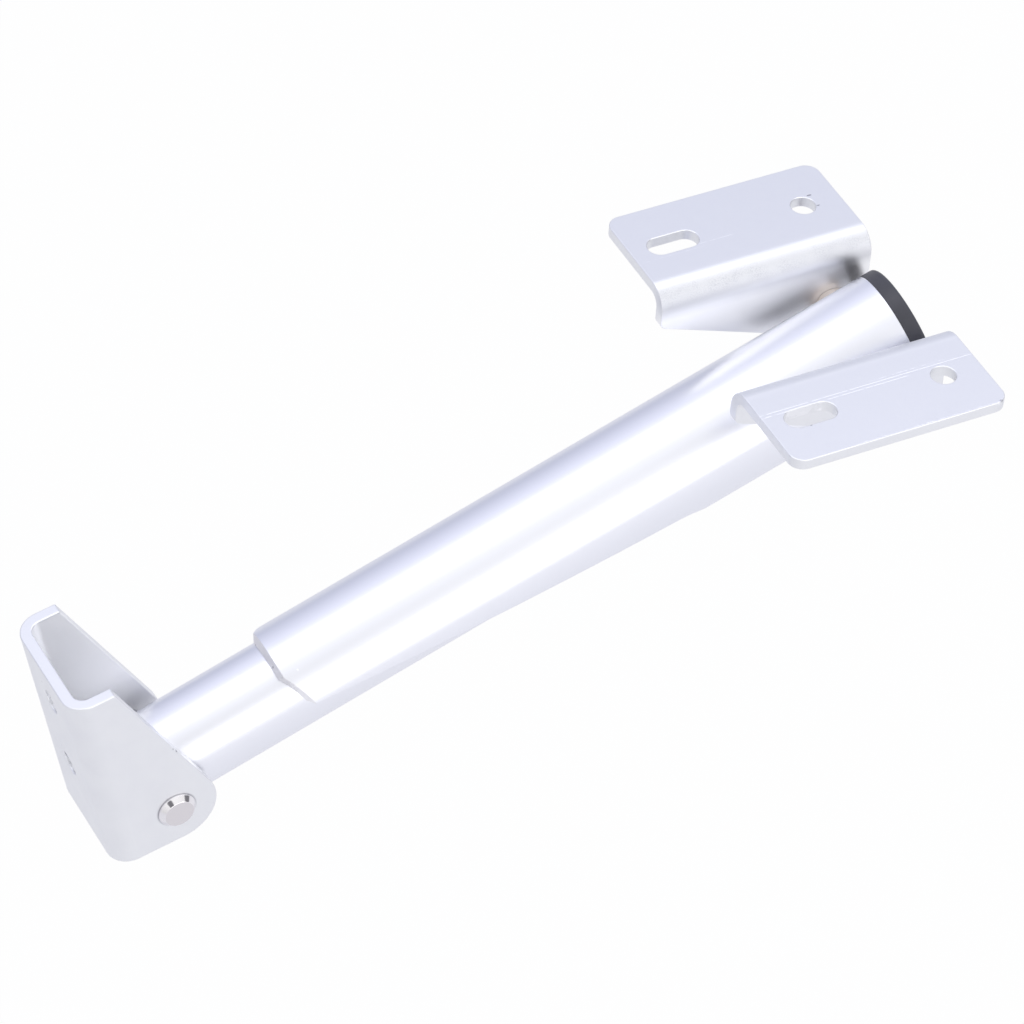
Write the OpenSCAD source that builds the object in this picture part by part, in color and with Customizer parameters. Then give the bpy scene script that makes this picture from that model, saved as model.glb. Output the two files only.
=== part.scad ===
// Folding table bracket: a knee-jointed tube strut between a wall channel and two table angles.
// Frame: X runs out from the wall, Z up and Y across, from midway between the two wall holes.

/* [Wall channel] */
// Thickness of the channel's sheet
wall_sheet = 4; // [3:0.1:4.5]
// Inside radius of the channel's two bends
wall_bend = 4; // [2:0.5:6]
// Height of the channel's top above the wall pivot
web_rise = 63.1; // [60:0.1:70]
// Distance of the wall pivot from the wall
wall_gap = 24.3; // [24.3:0.1:28]
// Radius of the channel's rounded ears about the wall pivot
wall_ear_r = 14.2; // [11:0.1:15]
// Depth of the channel's sides at their top
side_top = 15.25; // [12:0.25:20]
// Diameter of the two wall screw holes
web_hole_d = 8.5; // [5:0.5:9]
// Distance between the two wall screw holes
web_hole_pitch = 30.8; // [26:0.1:32]
// Distance of the upper wall screw hole below the channel's top
web_hole_drop = 15.5; // [12:0.5:18]

/* [Table angles] */
// Thickness of the angles' sheet
angle_sheet = 4; // [3:0.1:4.5]
// Inside radius of the angles' bends
angle_bend = 4; // [2:0.5:6]
// Height of the plates' top faces above the table pivot
plate_rise = 23.85; // [23:0.05:30]
// Reach of the plates from the table pivot towards the wall
plate_back = 64.9; // [60:0.1:80]
// Width of each plate, its bend included
plate_width = 41.65; // [35:0.05:50]
// Corner radius of the plates
plate_corner = 5; // [2:0.5:8]
// Radius of the angles' rounded ears about the table pivot
angle_ear_r = 14; // [11:0.1:16]
// Depth of the angles' sides at the end towards the wall
side_end = 14; // [11:0.5:18]
// Corner radius at the low end of the angles' sides
side_corner = 3; // [1:0.5:4]
// Diameter of the screw holes and width of the slots in the plates
screw_hole_d = 8.5; // [5:0.5:9]
// Distance of the screw holes from the side of the angle that faces the tube
screw_line = 22.9; // [20:0.1:26]
// Distance between the centres of screw hole and slot
slot_pitch = 49.1; // [42:0.1:52]
// Length of the slots, end to end
slot_len = 18.5; // [12:0.5:22]

/* [Tubes] */
// Distance between the pivots at wall and table along the strut
pivot_span = 272.7; // [260:0.1:320]
// Outside diameter of the outer tube
outer_d = 40; // [40:0.1:42]
// Wall of the outer tube
outer_wall = 3; // [2.5:0.1:3]
// Outside diameter of the inner tube
inner_d = 32; // [30:0.1:32]
// Wall of the inner tube
inner_wall = 2.5; // [2:0.1:2.5]
// Gap between the inner tube and the roof of the outer tube, at rest
roof_play = 0.3; // [0.2:0.05:0.4]
// Distance of the outer tube's low end from the wall pivot
shell_start = 48.8; // [46:0.1:54]
// Distance of the outer tube's top end beyond the table pivot
shell_over = 9.8; // [9.5:0.1:16]
// Length of the chamfer all round the low end
mouth_chamfer = 1.7; // [0.5:0.1:3]
// Distance from the middle at which the low end's corners start
mouth_flat = 9; // [6:0.1:14]
// Length that the low end's corners lose for each millimetre of width
mouth_slope = 0.68; // [0.5:0.01:1.2]
// Height of the long cut above the outer tube's axis, where it starts
cut_rise = 6.7; // [4:0.1:8]
// Length of the long cut along the underside, up to its round end
cut_run = 140.7; // [135:0.1:150]
// Depth of the long cut below the outer tube's axis, where its round end starts
cut_drop = 7.4; // [5:0.1:9]
// Radius of the long cut's round end
cut_end_r = 16; // [14:0.5:20]
// Distance of the inner tube's low end behind the wall pivot
inner_over = 9.5; // [8:0.1:10]

/* [Knee] */
// Distance of the knee pin below the inner tube's axis
knee_drop = 3.5; // [2:0.1:4]
// Fold of the knee at its limit, in degrees
knee_fold = 152; // [120:1:153]
// Diameter of the knee pin
knee_pin_d = 8; // [6:0.1:8]
// Wall of the bush on the knee pin
bush_wall = 1; // [0.5:0.1:1.5]
// Thickness of the flat arm inside the tubes
arm_t = 10; // [8:0.5:12]
// Height of the flat arm
arm_h = 14; // [12:0.5:14]
// Radius of the flat arm's eye at the knee
arm_eye_r = 8; // [7.5:0.1:8.5]
// Length of the spacers on the knee pin
spacer_len = 3.8; // [2:0.1:3.8]
// Diameter of the spacers on the knee pin
spacer_d = 12; // [11:0.1:12]
// Length of the guide that holds the flat arm in the outer tube
guide_len = 24; // [15:1:30]
// Distance of the guide behind the round end of the long cut
guide_set = 5; // [4:0.5:10]

/* [Pivots] */
// Diameter of the two pivot bolts
bolt_d = 8; // [6:0.1:8]
// Diameter of the bolts' round heads
head_d = 13; // [12:0.1:14]
// Diameter of the flat face of the bolts' heads, inside the chamfer
head_face_d = 10; // [8:0.1:11]
// Height of the bolts' heads
head_h = 2.4; // [1.5:0.1:3.5]
// Height of the upright rim of the bolts' heads
head_rim = 0.6; // [0.3:0.1:1]
// Width across the flats of the nuts
nut_flats = 13; // [12:0.1:14]
// Height of the nuts
nut_h = 6.5; // [4:0.1:8]
// Length of bolt that shows beyond each nut
bolt_over = 1.5; // [1:0.1:3]
// Wall of the sleeves in the tubes on the bolts
sleeve_wall = 2; // [1:0.1:2]
// Diameter of the wall pivot's washers
wall_washer_d = 12; // [10:0.1:18]
// Thickness of the wall pivot's washers
wall_washer_h = 2.8; // [1:0.1:4]
// Diameter of the table pivot's washers
table_washer_d = 11.4; // [10:0.1:16]
// Thickness of the table pivot's washers
table_washer_h = 3.2; // [1:0.1:5]

/* [Plugs] */
// Length of the end cap outside the outer tube
cap_len = 5.5; // [4:0.1:8]
// Radius of the end cap's rim
cap_round = 1.5; // [0.5:0.1:3]
// Length of the end cap's plug inside the outer tube
cap_plug = 22; // [20:0.5:26]
// Wall of the end cap's plug
cap_wall = 2.5; // [2:0.1:3]
// Thickness of the rim of the inner tube's plug
plug_rim = 2; // [1:0.1:2]
// Length of the inner tube's plug inside the tube
plug_len = 20; // [18:0.5:24]

/* [Pose] */
// Rise of the strut above level, in degrees
strut_rise = 6.66; // [0:0.01:60]
// Fall of the table plates below level, in degrees
plate_fall = 13.28; // [0:0.01:60]

/* [Hidden] */
$fn = 72;
slip = 0.06;        // radial clearance of a shaft that turns
push = 0.1;         // radial clearance of a piece that is pushed in
side_play = 0.2;    // gap beside the inner tube at each wall washer
face_play = 0.1;    // gap between faces that slide on each other
past = 1;           // how far a cutter runs past the piece
inner_r = inner_d / 2;
outer_r = outer_d / 2;
bore_r = outer_r - outer_wall;
core_r = inner_r - inner_wall;
lift = bore_r - inner_r - roof_play;
pivot_z = -(web_rise - web_hole_drop - web_hole_pitch / 2);
channel_in = inner_r + wall_washer_h + side_play;
channel_out = channel_in + wall_sheet;
angle_in = outer_r + table_washer_h + face_play;
angle_out = angle_in + angle_sheet;
shell_end = pivot_span + shell_over;
knee_s = pivot_span / 2;
knee_end_r = inner_r + knee_drop;
fold_left = 180 - knee_fold;
arm_slot = (inner_r - knee_drop) / tan(fold_left) + arm_h / 2 / sin(fold_left) + 2;
arm_slot_w = arm_t + 0.8;
arm_len = norm([pivot_span - knee_s, knee_drop - lift]);
arm_tilt = atan2(knee_drop - lift, pivot_span - knee_s);
arm_end_r = bolt_d / 2 + sleeve_wall + 3.4;
sleeve_d = bolt_d + 2 * sleeve_wall;
cut_end_s = shell_start + cut_run;
cut_slope = atan2(cut_rise + cut_drop, cut_run);
cut_end = [cut_end_s - cut_end_r * sin(cut_slope), -cut_drop - cut_end_r * cos(cut_slope)];
guide_s = cut_end[0] + cut_end_r + guide_set;
chamfer = 0.8;
steel = [0.72, 0.74, 0.78];
tube_metal = [0.86, 0.87, 0.9];
nylon = [0.84, 0.78, 0.73];
dark = [0.16, 0.16, 0.17];

module on_wall_pivot() {
    translate([wall_gap, 0, pivot_z]) children();
}

module on_strut() {
    on_wall_pivot() rotate([0, -strut_rise, 0]) children();
}

module on_shell() {
    on_strut() translate([0, 0, -lift]) children();
}

module on_knee() {
    on_strut() translate([knee_s, 0, -knee_drop]) children();
}

module on_table_pivot() {
    on_shell() translate([pivot_span, 0, 0]) rotate([0, strut_rise + plate_fall, 0]) children();
}

// Draws a flat shape of X and Z between two values of Y.
module side_on(y0, y1) {
    translate([0, y1, 0]) rotate([90, 0, 0]) linear_extrude(y1 - y0) children();
}

// Draws a round bar along Y between two values of Y.
module across(r, y0, y1) {
    translate([0, y1, 0]) rotate([90, 0, 0]) cylinder(r = r, h = y1 - y0);
}

// Draws a round bar along X between two values of X.
module along(r, x0, x1) {
    translate([x0, 0, 0]) rotate([0, 90, 0]) cylinder(r = r, h = x1 - x0);
}

// Draws a washer or sleeve along Y.
module ring_across(r_out, r_in, y0, y1) {
    difference() {
        across(r_out, y0, y1);
        across(r_in, y0 - past, y1 + past);
    }
}

// Draws a corner block with one round corner, in plan, that runs into positive X.
module round_end(half, depth, r) {
    union() {
        translate([0, -half + r]) square([depth, 2 * (half - r)]);
        translate([r, -half]) square([depth - r, 2 * half]);
        translate([r, half - r]) circle(r);
        translate([r, -half + r]) circle(r);
    }
}

// The outline of the channel's sides, about the wall pivot, with a front edge that meets the ear.
module channel_side() {
    corner = [side_top - wall_gap, web_rise];
    far = norm(corner);
    turn = atan2(corner[1], corner[0]) - acos(wall_ear_r / far);
    union() {
        circle(wall_ear_r);
        polygon([
            [-wall_gap, -wall_ear_r],
            [0, -wall_ear_r],
            [0, 0],
            [wall_ear_r * cos(turn), wall_ear_r * sin(turn)],
            corner,
            [-wall_gap, web_rise]
        ]);
    }
}

module wall_bracket() {
    color(steel)
    difference() {
        intersection() {
            translate([0, 0, pivot_z - wall_ear_r])
            linear_extrude(web_rise + wall_ear_r)
            difference() {
                round_end(channel_out, wall_gap + wall_ear_r + past, wall_bend + wall_sheet);
                translate([wall_sheet, 0])
                round_end(channel_in, wall_gap + wall_ear_r + past, wall_bend);
            }
            on_wall_pivot() side_on(-channel_out - past, channel_out + past) channel_side();
        }
        on_wall_pivot() across(bolt_d / 2 + push, -channel_out - past, channel_out + past);
        for (side = [-1, 1])
            translate([0, 0, side * web_hole_pitch / 2]) along(web_hole_d / 2, -past, wall_sheet + past);
    }
}

// A low round head with a chamfered rim, which stands on a face at Y = 0 and rises towards -Y.
module bolt_head() {
    rotate([90, 0, 0])
    rotate_extrude()
    polygon([
        [0, 0],
        [head_d / 2, 0],
        [head_d / 2, head_rim],
        [head_face_d / 2, head_h],
        [0, head_h]
    ]);
}

// A bolt along Y from its head's face to its tip, which has a small chamfer.
module pivot_bolt(y0, y1) {
    union() {
        translate([0, y0, 0]) bolt_head();
        translate([0, y0, 0])
        rotate([-90, 0, 0])
        rotate_extrude()
        polygon([
            [0, -head_rim],
            [bolt_d / 2, -head_rim],
            [bolt_d / 2, y1 - y0 - chamfer],
            [bolt_d / 2 - chamfer, y1 - y0],
            [0, y1 - y0]
        ]);
    }
}

// A hexagon nut along Y with its corners turned off at both ends.
module pivot_nut(y0) {
    corner_r = nut_flats / 2 / cos(30);
    turned = corner_r - nut_flats / 2;
    translate([0, y0, 0])
    rotate([-90, 0, 0])
    difference() {
        intersection() {
            cylinder(r = corner_r, h = nut_h, $fn = 6);
            rotate_extrude()
            polygon([
                [0, 0],
                [nut_flats / 2, 0],
                [corner_r, turned / 2],
                [corner_r, nut_h - turned / 2],
                [nut_flats / 2, nut_h],
                [0, nut_h]
            ]);
        }
        translate([0, 0, -past]) cylinder(r = bolt_d / 2, h = nut_h + 2 * past);
    }
}

module wall_pivot_bolt() {
    color(steel) on_wall_pivot() pivot_bolt(-channel_out, channel_out + nut_h + bolt_over);
}

module wall_pivot_nut() {
    color(steel) on_wall_pivot() pivot_nut(channel_out);
}

module wall_washer_near() {
    color(steel)
    on_wall_pivot()
    ring_across(wall_washer_d / 2, bolt_d / 2 + push, -channel_in, -channel_in + wall_washer_h);
}

module wall_washer_far() {
    color(steel)
    on_wall_pivot()
    ring_across(wall_washer_d / 2, bolt_d / 2 + push, channel_in - wall_washer_h, channel_in);
}

// The room that the inner tube's end may take as it turns about the knee pin under the round roof.
module knee_ball() {
    rotate([90, 0, 0])
    rotate_extrude()
    intersection() {
        translate([knee_drop - lift, 0]) circle(bore_r - roof_play);
        translate([0, -bore_r]) square([2 * bore_r, 2 * bore_r]);
    }
}

// The tube that turns in the channel: its other end is rounded about the knee pin, and slotted
// below for the flat arm.
module inner_tube() {
    color(tube_metal)
    on_strut()
    difference() {
        intersection() {
            along(inner_r, -inner_over, knee_s + knee_end_r + past);
            union() {
                translate([-inner_over - past, -inner_r - past, -inner_r - past])
                cube([knee_s + inner_over + past, inner_d + 2 * past, inner_d + 2 * past]);
                translate([knee_s, 0, -knee_drop]) knee_ball();
            }
        }
        along(core_r, -inner_over - past, knee_s + knee_end_r + 2 * past);
        across(sleeve_d / 2 + push, -inner_r - past, inner_r + past);
        translate([knee_s, 0, -knee_drop])
        across(knee_pin_d / 2 + push / 4, -inner_r - past, inner_r + past);
        translate([knee_s - arm_slot, -arm_slot_w / 2, -inner_r - past])
        cube([arm_slot + knee_end_r + past, arm_slot_w, inner_r]);
        translate([knee_s - arm_slot, 0, -inner_r - past]) cylinder(d = arm_slot_w, h = inner_r);
    }
}

module inner_tube_plug() {
    color(dark)
    on_strut()
    difference() {
        union() {
            along(core_r - push, -inner_over - plug_rim / 2, plug_len - inner_over);
            along(inner_r - 2 * push, -inner_over - plug_rim, -inner_over);
        }
        across(sleeve_d / 2 + push, -inner_r, inner_r);
    }
}

module wall_pivot_sleeve() {
    color(steel)
    on_strut()
    ring_across(sleeve_d / 2, bolt_d / 2 + slip, -inner_r + push, inner_r - push);
}

// The knee pin, with its ends ground flush with the inner tube.
module knee_pin() {
    color(steel)
    intersection() {
        on_knee() across(knee_pin_d / 2, -inner_r, inner_r);
        on_strut() along(inner_r, 0, pivot_span);
    }
}

module knee_spacer_near() {
    color(nylon)
    on_knee()
    ring_across(spacer_d / 2, knee_pin_d / 2 + push, -arm_t / 2 - 2 * face_play - spacer_len,
        -arm_t / 2 - 2 * face_play);
}

module knee_spacer_far() {
    color(nylon)
    on_knee()
    ring_across(spacer_d / 2, knee_pin_d / 2 + push, arm_t / 2 + 2 * face_play,
        arm_t / 2 + 2 * face_play + spacer_len);
}

// What the long cut takes from the underside, in X and Z about the outer tube's axis.
module long_cut() {
    union() {
        polygon([
            [shell_start - 2 * past, cut_rise + 2 * past * tan(cut_slope)],
            [cut_end_s, -cut_drop],
            cut_end,
            [cut_end[0], -outer_r - past],
            [shell_start - 2 * past, -outer_r - past]
        ]);
        translate(cut_end) circle(cut_end_r);
    }
}

// The outer tube, which has a chamfered mouth with its corners cut off and an open underside.
module outer_tube() {
    color(tube_metal)
    on_shell()
    difference() {
        rotate([0, 90, 0])
        rotate_extrude()
        polygon([
            [bore_r, shell_start],
            [outer_r, shell_start + mouth_chamfer],
            [outer_r, shell_end],
            [bore_r, shell_end]
        ]);
        translate([0, 0, -outer_r - past])
        linear_extrude(outer_d + 2 * past)
        for (side = [-1, 1])
            polygon([
                [shell_start, side * mouth_flat],
                [shell_start + mouth_slope * (outer_r + past - mouth_flat), side * (outer_r + past)],
                [shell_start - past, side * (outer_r + past)],
                [shell_start - past, side * mouth_flat]
            ]);
        side_on(-outer_r - past, outer_r + past) long_cut();
        translate([pivot_span, 0, 0])
        across(sleeve_d / 2 + push, -outer_r - past, outer_r + past);
    }
}

// The flat arm that carries the knee pin inside the tubes and ends on the table pivot.
module knee_arm() {
    color(steel)
    on_knee()
    rotate([0, -arm_tilt, 0])
    difference() {
        side_on(-arm_t / 2, arm_t / 2)
        union() {
            circle(arm_eye_r);
            translate([0, -arm_h / 2]) square([arm_len, arm_h]);
            translate([arm_len, 0]) circle(arm_end_r);
        }
        across(knee_pin_d / 2 + bush_wall + push, -arm_t, arm_t);
        translate([arm_len, 0, 0]) across(sleeve_d / 2 + push, -arm_t, arm_t);
    }
}

module knee_bush() {
    color(nylon)
    on_knee()
    ring_across(knee_pin_d / 2 + bush_wall, knee_pin_d / 2 + slip, -arm_t / 2, arm_t / 2);
}

module arm_guide() {
    color(dark)
    difference() {
        on_shell() along(bore_r - push, guide_s, guide_s + guide_len);
        on_knee()
        rotate([0, -arm_tilt, 0])
        translate([0, -arm_t / 2 - push, -arm_h / 2 - push])
        cube([arm_len, arm_t + 2 * push, arm_h + 2 * push]);
    }
}

// The black cap: a rim as wide as the tube and a hollow plug that the sleeve passes through.
module end_cap() {
    color(dark)
    on_shell()
    difference() {
        translate([shell_end, 0, 0])
        rotate([0, 90, 0])
        rotate_extrude()
        difference() {
            polygon([
                [0, cap_len],
                [outer_r, cap_len],
                [outer_r, 0],
                [bore_r - push, 0],
                [bore_r - push, -cap_plug],
                [bore_r - push - cap_wall, -cap_plug],
                [bore_r - push - cap_wall, cap_len / 2],
                [0, cap_len / 2]
            ]);
            difference() {
                translate([outer_r - cap_round, cap_len - cap_round]) square(cap_round + past);
                translate([outer_r - cap_round, cap_len - cap_round]) circle(cap_round);
            }
        }
        translate([pivot_span, 0, 0]) across(sleeve_d / 2 + push, -outer_r, outer_r);
    }
}

module table_pivot_sleeve() {
    color(steel)
    on_table_pivot()
    ring_across(sleeve_d / 2, bolt_d / 2 + push, -outer_r + push, outer_r - push);
}

module table_pivot_bolt() {
    color(steel)
    on_table_pivot()
    pivot_bolt(-angle_out - face_play, angle_out + face_play + nut_h + bolt_over);
}

module table_pivot_nut() {
    color(steel) on_table_pivot() pivot_nut(angle_out + face_play);
}

module table_washer_near() {
    color(nylon)
    on_table_pivot()
    ring_across(table_washer_d / 2, bolt_d / 2 + push, -outer_r - table_washer_h, -outer_r);
}

module table_washer_far() {
    color(nylon)
    on_table_pivot()
    ring_across(table_washer_d / 2, bolt_d / 2 + push, outer_r, outer_r + table_washer_h);
}

// The outline of an angle's side, in X and Z about the table pivot: a tapered strip and an ear.
module angle_side() {
    low = [-plate_back, plate_rise - side_end];
    far = norm(low);
    turn = atan2(low[1], low[0]) + acos(angle_ear_r / far);
    slope = atan2(angle_ear_r * sin(turn) - low[1], angle_ear_r * cos(turn) - low[0]);
    inset = side_corner / tan(45 - slope / 2);
    dot = [low[0] + side_corner, low[1] + side_corner * tan(45 + slope / 2)];
    union() {
        circle(angle_ear_r);
        translate(dot) circle(side_corner);
        polygon([
            [-plate_back, plate_rise],
            [-plate_back, dot[1]],
            dot,
            [dot[0] + side_corner * sin(slope), dot[1] - side_corner * cos(slope)],
            [angle_ear_r * cos(turn), angle_ear_r * sin(turn)],
            [0, 0],
            [angle_ear_r, 0],
            [angle_ear_r, plate_rise]
        ]);
    }
}

// The outline of a plate from above, from the middle of the strut outwards.
module plate_plan() {
    wide = angle_in + plate_width;
    union() {
        translate([-plate_back, 0]) square([plate_back + angle_ear_r, wide - plate_corner]);
        translate([-plate_back + plate_corner, 0])
        square([plate_back + angle_ear_r - 2 * plate_corner, wide]);
        for (x = [-plate_back + plate_corner, angle_ear_r - plate_corner])
            translate([x, wide - plate_corner]) circle(plate_corner);
    }
}

// The bent section of an angle, in Y and Z about the table pivot.
module angle_section() {
    wide = angle_in + plate_width;
    low = -angle_ear_r - past;
    bend_out = angle_bend + angle_sheet;
    middle = [angle_in + bend_out, plate_rise - bend_out];
    difference() {
        union() {
            translate([angle_in, low]) square([wide - angle_in, middle[1] - low]);
            translate([middle[0], low]) square([wide - middle[0], plate_rise - low]);
            translate(middle) circle(bend_out);
        }
        translate([angle_out, low - past]) square([wide, middle[1] - low + past]);
        translate([middle[0], low - past]) square([wide, plate_rise - angle_sheet - low + past]);
        translate(middle) circle(angle_bend);
    }
}

module table_bracket_far() {
    color(steel)
    on_table_pivot()
    difference() {
        intersection() {
            translate([-plate_back - past, 0, 0])
            rotate([90, 0, 90])
            linear_extrude(plate_back + angle_ear_r + 2 * past)
            angle_section();
            side_on(0, angle_in + plate_width + past) angle_side();
            translate([0, 0, -angle_ear_r - 2 * past])
            linear_extrude(plate_rise + angle_ear_r + 4 * past)
            plate_plan();
        }
        across(bolt_d / 2 + slip, 0, angle_out + past);
        translate([0, angle_in + screw_line, 0]) cylinder(d = screw_hole_d, h = plate_rise + past);
        for (end = [-1, 1])
            translate([-slot_pitch + end * (slot_len - screw_hole_d) / 2, angle_in + screw_line, 0])
            cylinder(d = screw_hole_d, h = plate_rise + past);
        translate([-slot_pitch - (slot_len - screw_hole_d) / 2, angle_in + screw_line - screw_hole_d / 2, 0])
        cube([slot_len - screw_hole_d, screw_hole_d, plate_rise + past]);
    }
}

module table_bracket_near() {
    mirror([0, 1, 0]) table_bracket_far();
}

wall_bracket();
wall_pivot_bolt();
wall_pivot_nut();
wall_washer_near();
wall_washer_far();
inner_tube();
inner_tube_plug();
wall_pivot_sleeve();
knee_pin();
knee_spacer_near();
knee_spacer_far();
outer_tube();
knee_arm();
knee_bush();
arm_guide();
end_cap();
table_pivot_sleeve();
table_pivot_bolt();
table_pivot_nut();
table_washer_near();
table_washer_far();
table_bracket_near();
table_bracket_far();
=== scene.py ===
"""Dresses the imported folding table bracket: finishes, eased edges, threads and a studio."""

import logging
import math
from dataclasses import dataclass, field
from enum import Enum

import bmesh
import bpy
from mathutils import Matrix, Quaternion, Vector


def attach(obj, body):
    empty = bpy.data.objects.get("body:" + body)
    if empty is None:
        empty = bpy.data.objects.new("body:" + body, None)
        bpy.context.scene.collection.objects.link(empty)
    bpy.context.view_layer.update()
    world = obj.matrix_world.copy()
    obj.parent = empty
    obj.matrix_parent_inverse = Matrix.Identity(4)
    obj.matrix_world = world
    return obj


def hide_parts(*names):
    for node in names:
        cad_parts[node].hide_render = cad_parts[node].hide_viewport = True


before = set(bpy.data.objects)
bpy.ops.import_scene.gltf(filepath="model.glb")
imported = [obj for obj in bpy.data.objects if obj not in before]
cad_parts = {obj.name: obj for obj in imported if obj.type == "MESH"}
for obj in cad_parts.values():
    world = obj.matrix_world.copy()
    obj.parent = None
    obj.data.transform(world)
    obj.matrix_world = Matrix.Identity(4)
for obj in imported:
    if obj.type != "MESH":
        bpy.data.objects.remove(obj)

LOG = logging.getLogger("table_bracket")
MM = 0.001
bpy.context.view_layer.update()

WALL_PIVOT = Vector((0.0243, 0.0, -0.0322))
STRUT_RISE = math.radians(6.66)
PLATE_FALL = math.radians(13.28)
PIVOT_SPAN = 272.7 * MM
TUBE_LIFT = 0.7 * MM

MIX_FIRST, MIX_SECOND, MIX_RESULT = 6, 7, 2
FULL_RANGE = (0.0, 1.0)
FALLING = (1.0, 0.0)
WELD_REACH = 0.002 * MM
FLAT_ANGLE = math.radians(0.4)
SHADE_ANGLE = math.radians(50.0)
CUT_REACH = 0.0005 * MM
WAVE_TURN = math.tau / 20.0


class Slot(Enum):
    """The record's material slots."""

    SHEET = "sheet_steel"
    TUBE = "tube_aluminium"
    FASTENER = "bright_fastener"
    PLASTIC = "black_plastic"
    NYLON = "nylon"


def strut_matrix() -> Matrix:
    """Gives the matrix from the strut's own axes, X up its length, to the frame.

    Returns:
        A matrix whose origin is the wall pivot and whose X axis runs up the tubes.
    """
    return Matrix.Translation(WALL_PIVOT) @ Matrix.Rotation(-STRUT_RISE, 4, "Y")


def table_matrix() -> Matrix:
    """Gives the matrix from the table angles' own axes to the frame.

    Returns:
        A matrix whose origin is the table pivot and whose Z axis is the plates' normal.
    """
    pivot = strut_matrix() @ Vector((PIVOT_SPAN, 0.0, -TUBE_LIFT))
    return Matrix.Translation(pivot) @ Matrix.Rotation(PLATE_FALL, 4, "Y")


class Axes(Enum):
    """The axes that a finish's pattern and marks are laid out in."""

    FRAME = "frame"
    STRUT = "strut"
    TABLE = "table"

    def matrix(self) -> Matrix:
        """Gives the matrix from these axes to the frame.

        Returns:
            The matrix.
        """
        if self is Axes.STRUT:
            return strut_matrix()
        if self is Axes.TABLE:
            return table_matrix()
        return Matrix.Identity(4)


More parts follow.
